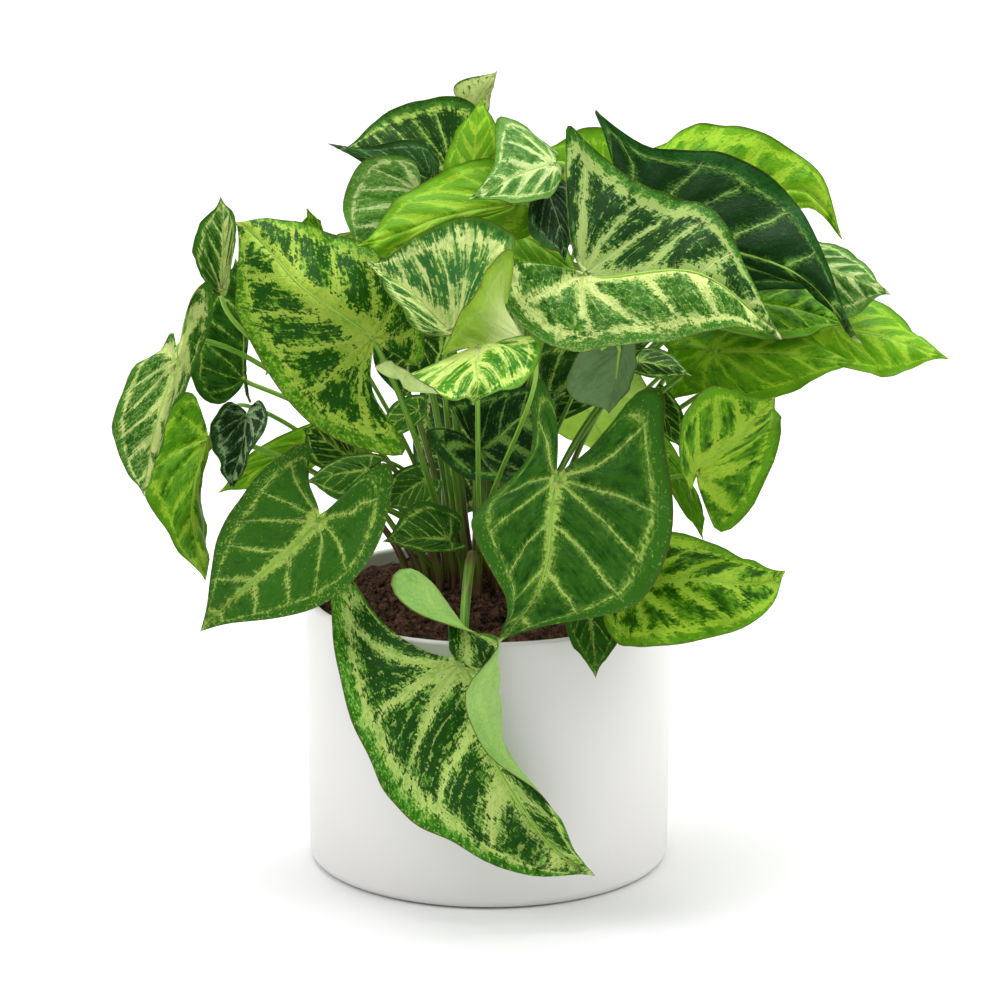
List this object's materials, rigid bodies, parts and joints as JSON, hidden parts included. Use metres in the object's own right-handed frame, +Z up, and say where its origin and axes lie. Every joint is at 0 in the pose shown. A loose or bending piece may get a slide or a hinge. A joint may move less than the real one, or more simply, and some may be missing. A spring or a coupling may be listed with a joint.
{
  "type": "potted syngonium",
  "caption": "Bushy arrowhead-leaved houseplant with green and cream marbled leaves in a plain round white cover pot.",
  "frame": {"origin": "centre of the pot's flat base, on the surface it stands on", "axes": "+Z up, -Y towards the viewer of the plant's front, +X to the viewer's right"},
  "size_m": [0.3317, 0.25, 0.3179],
  "materials": {
    "pot_glaze": "satin white glaze",
    "coir": "loose dark brown coir fibre",
    "leaf": "living leaf, satin, green marbled with cream along the veins"
  },
  "bodies": {
    "root": {"pot": "pot_glaze", "soil": "coir", "leaf_right_01": "leaf", "leaf_right_02": "leaf", "leaf_right_03": "leaf", "leaf_right_04": "leaf", "leaf_right_05": "leaf", "leaf_right_06": "leaf", "leaf_right_07": "leaf", "leaf_right_08": "leaf", "leaf_right_09": "leaf", "leaf_right_10": "leaf", "leaf_right_11": "leaf", "leaf_right_12": "leaf", "leaf_right_13": "leaf", "leaf_right_14": "leaf", "leaf_right_15": "leaf", "leaf_right_16": "leaf", "leaf_right_17": "leaf", "leaf_right_18": "leaf", "leaf_left_01": "leaf", "leaf_left_02": "leaf", "leaf_left_03": "leaf", "leaf_left_04": "leaf", "leaf_left_05": "leaf", "leaf_left_06": "leaf", "leaf_left_07": "leaf", "leaf_left_08": "leaf", "leaf_left_09": "leaf", "leaf_left_10": "leaf", "leaf_left_11": "leaf", "leaf_left_12": "leaf", "leaf_left_13": "leaf", "leaf_left_14": "leaf", "leaf_left_15": "leaf", "leaf_left_16": "leaf", "leaf_left_17": "leaf", "leaf_left_18": "leaf", "leaf_left_19": "leaf", "leaf_top_01": "leaf", "leaf_top_02": "leaf", "leaf_top_03": "leaf", "leaf_top_04": "leaf", "leaf_top_05": "leaf", "leaf_top_06": "leaf", "leaf_top_07": "leaf", "leaf_top_08": "leaf", "leaf_top_09": "leaf", "leaf_top_10": "leaf", "leaf_back_01": "leaf", "leaf_back_02": "leaf", "leaf_back_03": "leaf", "leaf_back_04": "leaf", "leaf_back_05": "leaf", "leaf_back_06": "leaf", "leaf_back_07": "leaf", "leaf_back_08": "leaf", "leaf_back_09": "leaf", "leaf_back_10": "leaf"}
  },
  "joints": []
}
